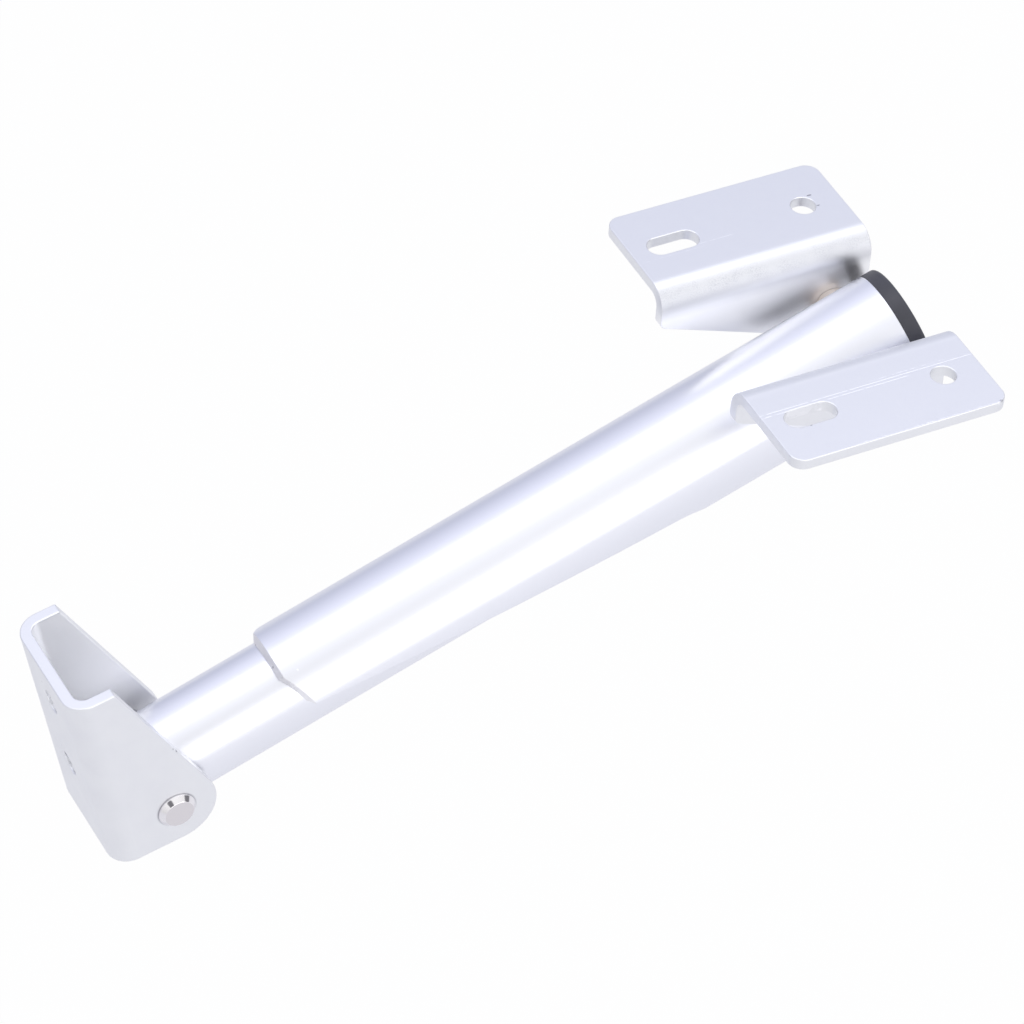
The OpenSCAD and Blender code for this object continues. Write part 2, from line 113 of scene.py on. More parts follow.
class NodeGraph:
    """A small helper that builds one material's or world's node tree."""

    def __init__(self, tree: bpy.types.NodeTree) -> None:
        """Clears the tree.

        Args:
            tree: The node tree to build in.
        """
        self.tree = tree
        tree.nodes.clear()

    def add(self, kind: str, **settings: object) -> bpy.types.Node:
        """Adds a node and sets its attributes.

        Args:
            kind: The node's type name.
            settings: Attribute values of the node.

        Returns:
            The new node.
        """
        node = self.tree.nodes.new(kind)
        for name, value in settings.items():
            setattr(node, name, value)
        return node

    def link(self, source: bpy.types.NodeSocket, target: bpy.types.NodeSocket) -> None:
        """Joins two sockets."""
        self.tree.links.new(source, target)

    def inside(
        self,
        coords: bpy.types.NodeSocket,
        place: Vector,
        turn: float = 0.0,
        scale: tuple[float, float, float] = (1.0, 1.0, 1.0),
    ) -> bpy.types.NodeSocket:
        """Reads coordinates from axes that are moved, turned about Y and stretched.

        Args:
            coords: The coordinates outside those axes.
            place: Origin of the axes.
            turn: Their turn about Y, in radians.
            scale: Length of one unit along each of them.

        Returns:
            The coordinates along those axes.
        """
        node = self.add("ShaderNodeMapping", vector_type="TEXTURE")
        node.inputs["Location"].default_value = place
        node.inputs["Rotation"].default_value = (0.0, turn, 0.0)
        node.inputs["Scale"].default_value = scale
        self.link(coords, node.inputs["Vector"])
        return node.outputs["Vector"]

    def parts(
        self, coords: bpy.types.NodeSocket
    ) -> tuple[bpy.types.NodeSocket, bpy.types.NodeSocket, bpy.types.NodeSocket]:
        """Splits coordinates into X, Y and Z.

        Args:
            coords: The coordinates.

        Returns:
            The sockets of X, Y and Z.
        """
        node = self.add("ShaderNodeSeparateXYZ")
        self.link(coords, node.inputs["Vector"])
        return node.outputs["X"], node.outputs["Y"], node.outputs["Z"]

    def length(self, coords: bpy.types.NodeSocket) -> bpy.types.NodeSocket:
        """Gives the distance of coordinates from their origin.

        Args:
            coords: The coordinates.

        Returns:
            The distance's socket.
        """
        node = self.add("ShaderNodeVectorMath", operation="LENGTH")
        self.link(coords, node.inputs[0])
        return node.outputs["Value"]

    def math(
        self,
        operation: str,
        first: bpy.types.NodeSocket,
        second: bpy.types.NodeSocket | float | None = None,
    ) -> bpy.types.NodeSocket:
        """Adds a math node.

        Args:
            operation: What it does, such as ADD.
            first: Its first value.
            second: Its second value, where it has one.

        Returns:
            The result's socket.
        """
        node = self.add("ShaderNodeMath", operation=operation)
        self.link(first, node.inputs[0])
        if isinstance(second, float):
            node.inputs[1].default_value = second
        elif second is not None:
            self.link(second, node.inputs[1])
        return node.outputs["Value"]

    def noise(
        self, coords: bpy.types.NodeSocket, scale: float, detail: float, roughness: float = 0.5
    ) -> bpy.types.NodeSocket:
        """Adds a noise texture.

        Args:
            coords: Where the texture reads its place from.
            scale: Waves per metre.
            detail: Octaves of finer noise.
            roughness: Strength of the finer octaves.

        Returns:
            The noise value's socket.
        """
        node = self.add("ShaderNodeTexNoise")
        node.inputs["Scale"].default_value = scale
        node.inputs["Detail"].default_value = detail
        node.inputs["Roughness"].default_value = roughness
        self.link(coords, node.inputs["Vector"])
        return node.outputs["Fac"]

    def spread(
        self, value: bpy.types.NodeSocket, low: float, high: float, to: tuple[float, float]
    ) -> bpy.types.NodeSocket:
        """Maps a value from one range to another and clamps it.

        Args:
            value: The socket to read.
            low: Input value that gives the first output.
            high: Input value that gives the second output.
            to: The two outputs.

        Returns:
            The mapped value's socket.
        """
        node = self.add("ShaderNodeMapRange")
        node.inputs["From Min"].default_value = low
        node.inputs["From Max"].default_value = high
        node.inputs["To Min"].default_value = to[0]
        node.inputs["To Max"].default_value = to[1]
        self.link(value, node.inputs["Value"])
        return node.outputs["Result"]

    def blend(
        self,
        factor: bpy.types.NodeSocket,
        first: bpy.types.NodeSocket | tuple[float, float, float],
        second: bpy.types.NodeSocket | tuple[float, float, float],
    ) -> bpy.types.NodeSocket:
        """Mixes two colours by a value.

        Args:
            factor: The socket that says how much of the second colour shows.
            first: Colour at 0, a socket or a linear colour.
            second: Colour at 1, a socket or a linear colour.

        Returns:
            The mixed colour's socket.
        """
        node = self.add("ShaderNodeMix", data_type="RGBA")
        self.link(factor, node.inputs["Factor"])
        sides = ((node.inputs[MIX_FIRST], first), (node.inputs[MIX_SECOND], second))
        for socket, colour in sides:
            if isinstance(colour, tuple):
                socket.default_value = (*colour, 1.0)
            else:
                self.link(colour, socket)
        return node.outputs[MIX_RESULT]


@dataclass(frozen=True)
class Mark:
    """Something that shows in a finish, such as a scratch, a speck or a change of tone.

    Attributes:
        tone: Linear colour of the mark.
        cover: How much of its colour shows, from 0 to 1.
        height: How far it stands out, in metres, below 0 where it goes in.
        matt: How much rougher the finish is there.
    """

    tone: tuple[float, float, float]
    cover: float
    height: float
    matt: float = 0.0

    def mask(self, graph: NodeGraph, coords: bpy.types.NodeSocket) -> bpy.types.NodeSocket:
        """Says where the mark shows.

        Args:
            graph: The material's graph.
            coords: Coordinates along the finish's axes, in metres.

        Returns:
            A socket that is 1 on the mark and 0 beside it.
        """
        raise NotImplementedError


@dataclass(frozen=True)
class Spot(Mark):
    """A ragged speck or patch.

    Attributes:
        place: Its middle, in millimetres along the finish's axes.
        reach: Half its size along each axis, in millimetres.
        waves: Waves per metre of its ragged outline.
        ragged: How far the outline wanders, as a share of its size.
        core: Share of its size where it starts to fade.
    """

    place: tuple[float, float, float] = (0.0, 0.0, 0.0)
    reach: tuple[float, float, float] = (1.0, 1.0, 1.0)
    waves: float = 2200.0
    ragged: float = 0.35
    core: float = 0.7

    def mask(self, graph: NodeGraph, coords: bpy.types.NodeSocket) -> bpy.types.NodeSocket:
        """Says where the speck or patch shows.

        Args:
            graph: The material's graph.
            coords: Coordinates along the finish's axes, in metres.

        Returns:
            A socket that is 1 on the mark and 0 beside it.
        """
        size = tuple(r * MM for r in self.reach)
        local = graph.inside(coords, Vector(self.place) * MM, 0.0, size)
        wander = graph.noise(coords, self.waves, 2.0)
        outline = graph.spread(wander, 0.3, 0.7, (-self.ragged, self.ragged))
        away = graph.math("ADD", graph.length(local), outline)
        return graph.spread(away, self.core, 1.0, FALLING)


@dataclass(frozen=True)
class Scratch(Mark):
    """A broken line along the finish's X axis.

    Attributes:
        y: Its place across, in millimetres.
        span: Its two ends along X, in millimetres.
        width: Half its width, in millimetres.
        gaps: Level of the noise, from 0 to 1, under which it is faint.
        core: Share of its width where it starts to fade.
        fade: Length over which each end fades, in millimetres.
        waves: Waves per metre of its gaps.
        faint: How much of it shows in the gaps.
    """

    y: float = 0.0
    span: tuple[float, float] = (0.0, 1.0)
    width: float = 0.16
    gaps: float = 0.4
    core: float = 0.4
    fade: float = 2.0
    waves: float = 420.0
    faint: float = 0.15

    def mask(self, graph: NodeGraph, coords: bpy.types.NodeSocket) -> bpy.types.NodeSocket:
        """Says where the line shows.

        Args:
            graph: The material's graph.
            coords: Coordinates along the finish's axes, in metres.

        Returns:
            A socket that is 1 on the mark and 0 beside it.
        """
        x, y, _ = graph.parts(coords)
        off = graph.math("ABSOLUTE", graph.math("SUBTRACT", y, self.y * MM))
        line = graph.spread(off, self.core * self.width * MM, self.width * MM, FALLING)
        fade = self.fade * MM
        first, last = (place * MM for place in self.span)
        start = graph.spread(x, first - fade, first, FULL_RANGE)
        end = graph.spread(x, last, last + fade, FALLING)
        pattern = graph.noise(coords, self.waves, 2.0)
        broken = graph.spread(pattern, self.gaps, self.gaps + 0.12, (self.faint, 1.0))
        drawn = graph.math("MULTIPLY", line, broken)
        return graph.math("MULTIPLY", drawn, graph.math("MULTIPLY", start, end))


@dataclass(frozen=True)
class Bend(Mark):
    """A change of tone or sheen along a bend of the sheet.

    Attributes:
        line: Distance from the middle and height of the line that it follows, in millimetres.
        reach: How far it spreads from that line, in millimetres.
        core: Share of that reach where it starts to fade.
    """

    line: tuple[float, float] = (25.3, 20.9)
    reach: float = 8.0
    core: float = 0.2

    def mask(self, graph: NodeGraph, coords: bpy.types.NodeSocket) -> bpy.types.NodeSocket:
        """Says how near the bend's line a point is.

        Args:
            graph: The material's graph.
            coords: Coordinates along the finish's axes, in metres.

        Returns:
            A socket that is 1 on the mark and 0 beside it.
        """
        _, y, z = graph.parts(coords)
        across = graph.math("SUBTRACT", graph.math("ABSOLUTE", y), self.line[0] * MM)
        over = graph.math("SUBTRACT", z, self.line[1] * MM)
        square = graph.math(
            "ADD", graph.math("MULTIPLY", across, across), graph.math("MULTIPLY", over, over)
        )
        away = graph.math("SQRT", square)
        return graph.spread(away, self.core * self.reach * MM, self.reach * MM, FALLING)


@dataclass(frozen=True)
class BendGrain(Bend):
    """The coarse grain of sheet that was stretched round a bend.

    Attributes:
        drift_waves: Waves per metre of the patches with more and less grain.
        grain_waves: Waves per metre of the grain.
        thin: How much of the grain shows where it is thinnest.
    """

    drift_waves: float = 160.0
    grain_waves: float = 2100.0
    thin: float = 0.15

    def mask(self, graph: NodeGraph, coords: bpy.types.NodeSocket) -> bpy.types.NodeSocket:
        """Says where the grain shows.

        Args:
            graph: The material's graph.
            coords: Coordinates along the finish's axes, in metres.

        Returns:
            A socket that is 1 on the mark and 0 beside it.
        """
        near = super().mask(graph, coords)
        patches = graph.noise(coords, self.drift_waves, 2.0)
        drift = graph.spread(patches, 0.35, 0.6, (self.thin, 1.0))
        fine = graph.noise(coords, self.grain_waves, 3.0, 0.7)
        grain = graph.spread(fine, 0.45, 0.62, FULL_RANGE)
        return graph.math("MULTIPLY", graph.math("MULTIPLY", near, drift), grain)


@dataclass(frozen=True)
class Disc(Mark):
    """A round patch about an axis along Y, such as the painted shadow round a bolt's head.

    Attributes:
        centre: A point on its axis, in metres.
        inner: Radius up to which it shows in full, in millimetres.
        outer: Radius at which it ends, in millimetres.
        depth: Metres along its axis that count as one metre across.
    """

    centre: tuple[float, float, float] = (0.0, 0.0, 0.0)
    inner: float = 6.0
    outer: float = 7.0
    depth: float = 1000.0

    def mask(self, graph: NodeGraph, coords: bpy.types.NodeSocket) -> bpy.types.NodeSocket:
        """Says where the patch shows."""
        local = graph.inside(coords, Vector(self.centre), 0.0, (1.0, self.depth, 1.0))
        return graph.spread(graph.length(local), self.inner * MM, self.outer * MM, FALLING)


@dataclass(frozen=True)
class InnerPaintedLight(Mark):
    """Painted light: a lighter tone on faces that look inwards, which render too dark without it.

    The tone was set by comparing renders with the photograph.

    Attributes:
        half: Distance of those faces from the middle, in millimetres.
        top: Height of their upper end, in millimetres.
        front: Place along X from which they start, in millimetres.
        fade: Distance over which the tone changes, in millimetres.
    """

    half: float = 20.0
    top: float = 30.0
    front: float = 3.0
    fade: float = 0.6

    def mask(self, graph: NodeGraph, coords: bpy.types.NodeSocket) -> bpy.types.NodeSocket:
        """Says which faces are inside.

        Args:
            graph: The material's graph.
            coords: Coordinates along the finish's axes, in metres.

        Returns:
            A socket that is 1 on the mark and 0 beside it.
        """
        x, y, z = graph.parts(coords)
        half, top, front, fade = (v * MM for v in (self.half, self.top, self.front, self.fade))
        between = graph.spread(graph.math("ABSOLUTE", y), half, half + fade, FALLING)
        below = graph.spread(z, top, top + fade, FALLING)
        beyond = graph.spread(x, front, front + fade, FULL_RANGE)
        return graph.math("MULTIPLY", graph.math("MULTIPLY", between, below), beyond)


@dataclass(frozen=True)
class Finish:
    """A finish of one material slot, with fine grain, slow patches and its own marks.

    Attributes:
        name: The material's name.
        slot: The record's slot that it stands for; not used.
        colour: Main linear colour.
        shade: Linear colour of its slow patches.
        metallic: 1 for bare or silvered metal, less for sawn faces, 0 for plastic.
        roughness: Lowest and highest roughness.
        grain: Waves per metre of the fine grain.
        grain_height: Height of the fine grain, in metres.
        stretch: How much longer the grain is along the X axis.
        peel: Height of the slow waves of a coated surface, in metres.
        axes: Axes that the pattern and the marks follow.
        marks: Its marks.
        patch_waves: Waves per metre of the slow patches.
        peel_waves: Waves per metre of the slow waves of a coated surface.
    """

    name: str
    slot: Slot
    colour: tuple[float, float, float]
    shade: tuple[float, float, float]
    metallic: float
    roughness: tuple[float, float]
    grain: float
    grain_height: float = 0.000002
    stretch: float = 1.0
    peel: float = 0.0
    axes: Axes = Axes.FRAME
    marks: tuple[Mark, ...] = ()
    patch_waves: float = 90.0
    peel_waves: float = 260.0

    def material(self) -> bpy.types.Material:
        """Builds the finish's material once and gives it again after that.

        Returns:
            The material.
        """
        found = bpy.data.materials.get(self.name)
        if found is not None:
            return found
        made = bpy.data.materials.new(self.name)
        made.use_nodes = True
        graph = NodeGraph(made.node_tree)
        shader = graph.add("ShaderNodeBsdfPrincipled")
        output = graph.add("ShaderNodeOutputMaterial")
        graph.link(shader.outputs["BSDF"], output.inputs["Surface"])
        shader.inputs["Metallic"].default_value = self.metallic
        place = graph.add("ShaderNodeTexCoord")
        matrix = self.axes.matrix()
        coords = graph.inside(
            place.outputs["Object"], matrix.to_translation(), matrix.to_euler().y
        )
        drawn = graph.inside(coords, Vector(), 0.0, (self.stretch, 1.0, 1.0))
        patches = graph.noise(drawn, self.patch_waves, 3.0)
        shaded = graph.spread(patches, 0.35, 0.65, FULL_RANGE)
        colour = graph.blend(shaded, self.colour, self.shade)
        fine = graph.noise(drawn, self.grain, 2.0, 0.6)
        uneven = graph.math(
            "ADD", graph.math("MULTIPLY", fine, 0.5), graph.math("MULTIPLY", patches, 0.5)
        )
        rough = graph.spread(uneven, 0.3, 0.7, self.roughness)
        height = graph.math("MULTIPLY", fine, self.grain_height)
        if self.peel:
            slow = graph.noise(coords, self.peel_waves, 2.0)
            height = graph.math("ADD", height, graph.math("MULTIPLY", slow, self.peel))
        for mark in self.marks:
            mask = mark.mask(graph, coords)
            colour = graph.blend(graph.math("MULTIPLY", mask, mark.cover), colour, mark.tone)
            height = graph.math("ADD", height, graph.math("MULTIPLY", mask, mark.height))
            if mark.matt:
                rough = graph.math("ADD", rough, graph.math("MULTIPLY", mask, mark.matt))
        height = self.extra_height(graph, place.outputs["Object"], height)
        graph.link(colour, shader.inputs["Base Color"])
        graph.link(rough, shader.inputs["Roughness"])
        bump = graph.add("ShaderNodeBump")
        bump.inputs["Strength"].default_value = 1.0
        bump.inputs["Distance"].default_value = 1.0
        graph.link(height, bump.inputs["Height"])
        graph.link(bump.outputs["Normal"], shader.inputs["Normal"])
        return made

    def extra_height(
        self, graph: NodeGraph, coords: bpy.types.NodeSocket, height: bpy.types.NodeSocket
    ) -> bpy.types.NodeSocket:
        """Gives the height as it is: a subclass adds its own relief here."""
        return height


@dataclass(frozen=True)
class TurnedFinish(Finish):
    """A bright finish with fine turning rings about a bolt's axis.

    Attributes:
        centre: A point on the bolt's axis, in metres.
        ring_height: Height of the rings, in metres.
        ring_pitch: Distance between the rings, in metres.
    """

    centre: tuple[float, float, float] = (0.0, 0.0, 0.0)
    ring_height: float = 0.0000006
    ring_pitch: float = 0.00028

    def extra_height(
        self, graph: NodeGraph, coords: bpy.types.NodeSocket, height: bpy.types.NodeSocket
    ) -> bpy.types.NodeSocket:
        """Adds the turning rings.

        Args:
            graph: The material's graph.
            coords: Object coordinates.
            height: The height so far.

        Returns:
            The height with the rings.
        """
        wave = graph.add("ShaderNodeTexWave", wave_type="RINGS", rings_direction="Y")
        wave.inputs["Scale"].default_value = WAVE_TURN / self.ring_pitch
        graph.link(graph.inside(coords, Vector(self.centre)), wave.inputs["Vector"])
        rings = graph.math("MULTIPLY", wave.outputs["Fac"], self.ring_height)
        return graph.math("ADD", height, rings)


SILVER = (0.87, 0.875, 0.89)
SILVER_SHADE = (0.85, 0.855, 0.875)
# Dark tone of nicks, burrs and specks, and of painted shadow round the wall bolt's head and at the
# mouth's seam.
WEAR_AND_PAINTED_SHADE = (0.30, 0.30, 0.34)
RUBBED = (0.98, 0.98, 1.0)
# Painted light: the paler patch on the lower half of the tube mouth's cut.
PAINTED_CUT_LIGHT = (0.99, 0.985, 0.99)
# Painted light: the white laid on inward faces that render too dark.
PAINTED_INNER_LIGHT = (1.0, 1.0, 1.0)
STRETCHED = BendGrain((0.54, 0.55, 0.60), 0.45, 0.000018, reach=4.2)
BEND_SHEEN = Bend(SILVER, 0.0, 0.0, 0.22)
# Painted shade: darkens the middle of the far angle's bend, where a lamp's reflection is too
# bright.
FAR_BEND_PAINTED_SHADE = Bend((0.60, 0.61, 0.66), 0.36, 0.0, line=(24.0, 19.6), reach=5.0)
HEAD_FACE = (0.75, 0.72, 0.73)
TABLE_PIVOT = table_matrix().to_translation()

CHANNEL_SILVER = Finish(
    "channel_silver", Slot.SHEET, SILVER, SILVER_SHADE, 1.0, (0.36, 0.46), 3200.0, 0.0000018,
    peel=0.000006,
    marks=(
        # Painted light: the inside of the channel is whitened, as it renders too dark.
        InnerPaintedLight(PAINTED_INNER_LIGHT, 0.6, 0.0, 0.1, half=19.5, top=29.8),
        Spot(WEAR_AND_PAINTED_SHADE, 0.75, -0.00006, matt=0.1, place=(29.5, -23.0, -6.0), reach=(0.35, 0.5, 1.1)),
        Spot(WEAR_AND_PAINTED_SHADE, 0.5, -0.00004, place=(28.6, -23.0, -4.6), reach=(0.25, 0.4, 0.5)),
        # Painted shadow: a dark ring on the channel round the wall bolt's head.
        Disc(WEAR_AND_PAINTED_SHADE, 0.55, 0.0, centre=tuple(WALL_PIVOT), inner=6.6, outer=7.1),
        Spot(WEAR_AND_PAINTED_SHADE, 0.4, -0.00003, place=(0.0, 3.9, 21.6), reach=(0.6, 0.6, 0.22)),
        Spot(WEAR_AND_PAINTED_SHADE, 0.35, -0.00003, place=(0.0, 3.7, -10.1), reach=(0.6, 0.45, 0.25)),
        Spot(WEAR_AND_PAINTED_SHADE, 0.5, -0.00005, place=(14.2, 18.6, 30.9), reach=(0.7, 0.4, 0.5)),
    ),
)
NEAR_SILVER = Finish(
    "near_angle_silver", Slot.SHEET, SILVER, SILVER_SHADE, 1.0, (0.34, 0.44), 3200.0, 0.0000018,
    peel=0.000006, axes=Axes.TABLE,
    marks=(
        STRETCHED,
        BEND_SHEEN,
        Scratch(RUBBED, 1.0, -0.00003, y=-40.8, span=(-64.0, 12.0), width=0.24, gaps=0.34),
        Scratch(RUBBED, 1.0, -0.00003, y=-42.1, span=(-64.0, -12.0), width=0.22, gaps=0.38),
        Scratch(RUBBED, 0.9, -0.00002, y=-39.6, span=(-22.0, 2.0), width=0.18, gaps=0.42),
        Scratch(RUBBED, 0.8, -0.00002, y=-64.45, span=(-40.0, 9.0), width=0.22, gaps=0.48),
        Spot(WEAR_AND_PAINTED_SHADE, 0.45, -0.00005, place=(11.2, -64.2, 23.7), reach=(0.9, 0.5, 0.7)),
        Spot(RUBBED, 0.9, 0.00004, place=(9.9, -64.6, 23.4), reach=(0.7, 0.5, 0.8)),
        Spot(WEAR_AND_PAINTED_SHADE, 0.8, -0.00006, place=(-51.4, -50.7, 23.6), reach=(0.45, 0.35, 0.4)),
        Spot(WEAR_AND_PAINTED_SHADE, 0.6, -0.00006, place=(-4.0, -47.0, 22.9), reach=(0.4, 0.5, 0.5)),
    ),
)
FAR_SILVER = Finish(
    "far_angle_silver", Slot.SHEET, SILVER, SILVER_SHADE, 1.0, (0.30, 0.40), 3200.0, 0.0000018,
    peel=0.000014, axes=Axes.TABLE,
    marks=(
        # Painted light: the far flange's inner face is whitened in full, as it renders too dark.
        InnerPaintedLight(PAINTED_INNER_LIGHT, 1.0, 0.0, half=24.2, top=12.0, front=-80.0, fade=4.0),
        # Painted shade along the middle of the bend.
        FAR_BEND_PAINTED_SHADE,
        STRETCHED,
        BEND_SHEEN,
        Scratch(RUBBED, 0.8, -0.00002, y=42.2, span=(-41.0, -30.0), width=0.15, gaps=0.36),
        Scratch(RUBBED, 0.45, -0.00001, y=40.6, span=(-62.0, -42.0), width=0.15, gaps=0.46),
        Spot(WEAR_AND_PAINTED_SHADE, 0.8, -0.00008, place=(4.3, 50.2, 23.8), reach=(1.0, 0.35, 0.6)),
        Spot(WEAR_AND_PAINTED_SHADE, 0.7, -0.00006, place=(4.7, 44.4, 23.8), reach=(0.7, 0.3, 0.5)),
        Spot(WEAR_AND_PAINTED_SHADE, 0.6, -0.00006, place=(-4.1, 46.6, 23.7), reach=(0.3, 0.4, 0.4)),
    ),
)
ARM_ZINC = Finish(
    "arm_zinc", Slot.SHEET, (0.62, 0.62, 0.63), (0.55, 0.55, 0.57), 1.0, (0.30, 0.42), 1800.0,
    0.000004, stretch=6.0, axes=Axes.STRUT,
)
TUBE_SATIN = Finish(
    "tube_satin", Slot.TUBE, (0.895, 0.902, 0.95), (0.88, 0.887, 0.935), 1.0, (0.32, 0.38), 4200.0,
    0.0000006, stretch=14.0, axes=Axes.STRUT,
    marks=(Spot(RUBBED, 1.0, 0.00003, place=(55.7, -11.4, 15.8), reach=(0.35, 0.45, 0.45)),),
)
SAWN_EDGE = Finish(
    "sawn_edge", Slot.TUBE, (0.86, 0.85, 0.86), (0.78, 0.77, 0.79), 0.65, (0.42, 0.55), 1500.0,
    0.00001, axes=Axes.STRUT,
    marks=(
        # Painted light: a paler patch on the lower half of the mouth's cut.
        Spot(PAINTED_CUT_LIGHT, 0.85, 0.0, place=(54.0, -18.0, 6.0), reach=(12.0, 6.4, 14.0)),
        # Painted shadow: two dark specks, dented a little, where the inner tube meets the mouth's
        # cut.
        Spot(WEAR_AND_PAINTED_SHADE, 0.7, -0.00006, place=(49.3, -5.9, 16.8), reach=(0.6, 0.5, 0.8)),
        Spot(WEAR_AND_PAINTED_SHADE, 0.6, -0.00006, place=(49.0, 6.9, 14.8), reach=(0.6, 0.5, 0.8)),
    ),
)
WALL_PLATING = TurnedFinish(
    "wall_bolt_plating", Slot.FASTENER, (0.90, 0.88, 0.89), (0.84, 0.82, 0.84), 1.0, (0.07, 0.15),
    1600.0, 0.000001, centre=tuple(WALL_PIVOT),
    marks=(Disc(HEAD_FACE, 1.0, 0.0, centre=tuple(WALL_PIVOT), inner=4.9, outer=5.1),),
)
TABLE_PLATING = TurnedFinish(
    "table_bolt_plating", Slot.FASTENER, (0.90, 0.88, 0.89), (0.84, 0.82, 0.84), 1.0, (0.07, 0.15),
    1600.0, 0.000001, centre=tuple(TABLE_PIVOT),
    marks=(Disc(HEAD_FACE, 1.0, 0.0, centre=tuple(TABLE_PIVOT), inner=4.9, outer=5.1),),
)
BLACK_CAP = Finish(
    "black_cap", Slot.PLASTIC, (0.040, 0.040, 0.050), (0.055, 0.055, 0.068), 0.0, (0.38, 0.5),
    2500.0, 0.000006,
)
CREAM_NYLON = Finish(
    "cream_nylon", Slot.NYLON, (0.80, 0.72, 0.66), (0.74, 0.65, 0.59), 0.0, (0.4, 0.5),
    1200.0, 0.000004,
)


@dataclass
class EasedSolid:
    """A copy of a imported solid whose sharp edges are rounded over.

    Attributes:
        node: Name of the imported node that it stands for.
        name: Name of the new piece.
        body: Body that it rides on.
        finish: Its finish.
        edge: Radius of the rounded edges, in metres.
        segments: Faces across each rounded edge.
        sharp: Angle between faces, in degrees, from which an edge is rounded.
    """

    node: str
    name: str
    body: str
    finish: Finish
    edge: float = 0.3 * MM
    segments: int = 3
    sharp: float = 28.0

    def build(self) -> bpy.types.Object:
        """Copies the node's mesh, joins its triangles into clean faces and rounds its edges.

        Returns:
            The finished piece.
        """
        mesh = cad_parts[self.node].data.copy()
        mesh.name = self.name
        shape = bmesh.new()
        shape.from_mesh(mesh)
        bmesh.ops.remove_doubles(shape, verts=shape.verts, dist=WELD_REACH)
        bmesh.ops.dissolve_limit(
            shape, angle_limit=FLAT_ANGLE, verts=shape.verts, edges=shape.edges
        )
        edges = [
            e for e in shape.edges
            if len(e.link_faces) == 2 and e.calc_face_angle(0.0) > math.radians(self.sharp)
        ]
        bmesh.ops.bevel(
            shape, geom=edges, offset=self.edge, offset_type="OFFSET", segments=self.segments,
            profile=0.5, affect="EDGES", clamp_overlap=False, material=-1,
        )
        mesh.materials.clear()
        mesh.materials.append(self.finish.material())
        for face in shape.faces:
            face.material_index = 0
            face.smooth = True
        self.detail(shape, mesh)
        shape.to_mesh(mesh)
        shape.free()
        piece = bpy.data.objects.new(self.name, mesh)
        bpy.context.scene.collection.objects.link(piece)
        mesh.set_sharp_from_angle(angle=SHADE_ANGLE)
        even = piece.modifiers.new("even_shading", "WEIGHTED_NORMAL")
        even.keep_sharp = True
        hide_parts(self.node)
        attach(piece, self.body)
        LOG.info("%s: %d faces", self.name, len(mesh.polygons))
        return piece

    def detail(self, shape: bmesh.types.BMesh, mesh: bpy.types.Mesh) -> None:
        """Adds nothing: a subclass shapes the mesh or sets its materials further here."""


@dataclass
class SawnTube(EasedSolid):
    """A tube whose cut faces have the look of sawn metal.

    Attributes:
        drop: Distance of the tube's axis below the strut's axis, in metres.
        cut: Finish of the cut faces.
        follow: Cosine from which a face counts as part of the round sides.
    """

    drop: float = 0.0
    cut: Finish = SAWN_EDGE
    follow: float = 0.90

    def detail(self, shape: bmesh.types.BMesh, mesh: bpy.types.Mesh) -> None:
        """Gives the faces that don't follow the tube's round sides the look of a cut.

        Args:
            shape: The piece's shape.
            mesh: The mesh that carries its materials.
        """
        mesh.materials.append(self.cut.material())
        inward = strut_matrix().inverted()
        for face in shape.faces:
            middle = inward @ face.calc_center_median()
            normal = inward.to_3x3() @ face.normal
            outward = Vector((0.0, middle.y, middle.z + self.drop)).normalized()
            if abs(normal.dot(outward)) < self.follow:
                face.material_index = 1


@dataclass
class ThreadedBolt(EasedSolid):
    """A pivot bolt whose tip, beyond the nut, is cut down and carries a screw thread.

    Attributes:
        centre: A point on its axis, in metres.
        shank_r: Radius of its shank, in metres.
        root_r: Radius at the root of its thread, in metres.
        pitch: Pitch of its thread, in metres.
        show: Length of thread that shows, in metres.
        shoulder: Length of the step from shank to root, in metres.
        blunt: How far the thread's crest stays below the shank, in metres.
        sink: How far the thread's foot reaches into the root, in metres.
        steps: Steps of the thread in a full turn.
    """

    centre: tuple[float, float, float] = (0.0, 0.0, 0.0)
    shank_r: float = 4.0 * MM
    root_r: float = 3.4 * MM
    pitch: float = 1.25 * MM
    show: float = 1.5 * MM
    shoulder: float = 0.06 * MM
    blunt: float = 0.12 * MM
    sink: float = 0.1 * MM
    steps: int = 36

    def detail(self, shape: bmesh.types.BMesh, mesh: bpy.types.Mesh) -> None:
        """Narrows the tip to the thread's root and winds the thread round it.

        Args:
            shape: The bolt's shape.
            mesh: The mesh that carries its materials.
        """
        axis = Vector(self.centre)
        tip = max(v.co.y for v in shape.verts)
        foot = tip - self.show
        for place in (foot, foot + self.shoulder):
            bmesh.ops.bisect_plane(
                shape, geom=shape.verts[:] + shape.edges[:] + shape.faces[:], dist=CUT_REACH,
                plane_co=(0.0, place, 0.0), plane_no=(0.0, 1.0, 0.0),
            )
        for vert in shape.verts:
            if vert.co.y > foot + self.shoulder / 2:
                for i in (0, 2):
                    vert.co[i] = axis[i] + (vert.co[i] - axis[i]) * self.root_r / self.shank_r
        turns = (self.show - 0.45 * MM) / self.pitch
        half = 0.42 * self.pitch
        start = foot + 0.12 * MM
        low, crest = self.root_r - self.sink, self.shank_r - self.blunt
        outline = ((low, -0.2), (crest, 0.75), (crest, 0.95), (low, 1.9))
        ridge = shape.faces.new([
            shape.verts.new((axis.x + radius, start + half * along, axis.z))
            for radius, along in outline
        ])
        count = max(3, round(self.steps * turns))
        bmesh.ops.spin(
            shape, geom=[ridge], cent=axis, axis=(0.0, 1.0, 0.0),
            dvec=(0.0, self.pitch / self.steps, 0.0), angle=math.tau * turns, steps=count,
        )
        LOG.info("thread of %d steps", count)
        bmesh.ops.recalc_face_normals(shape, faces=shape.faces)
        for face in shape.faces:
            face.smooth = True


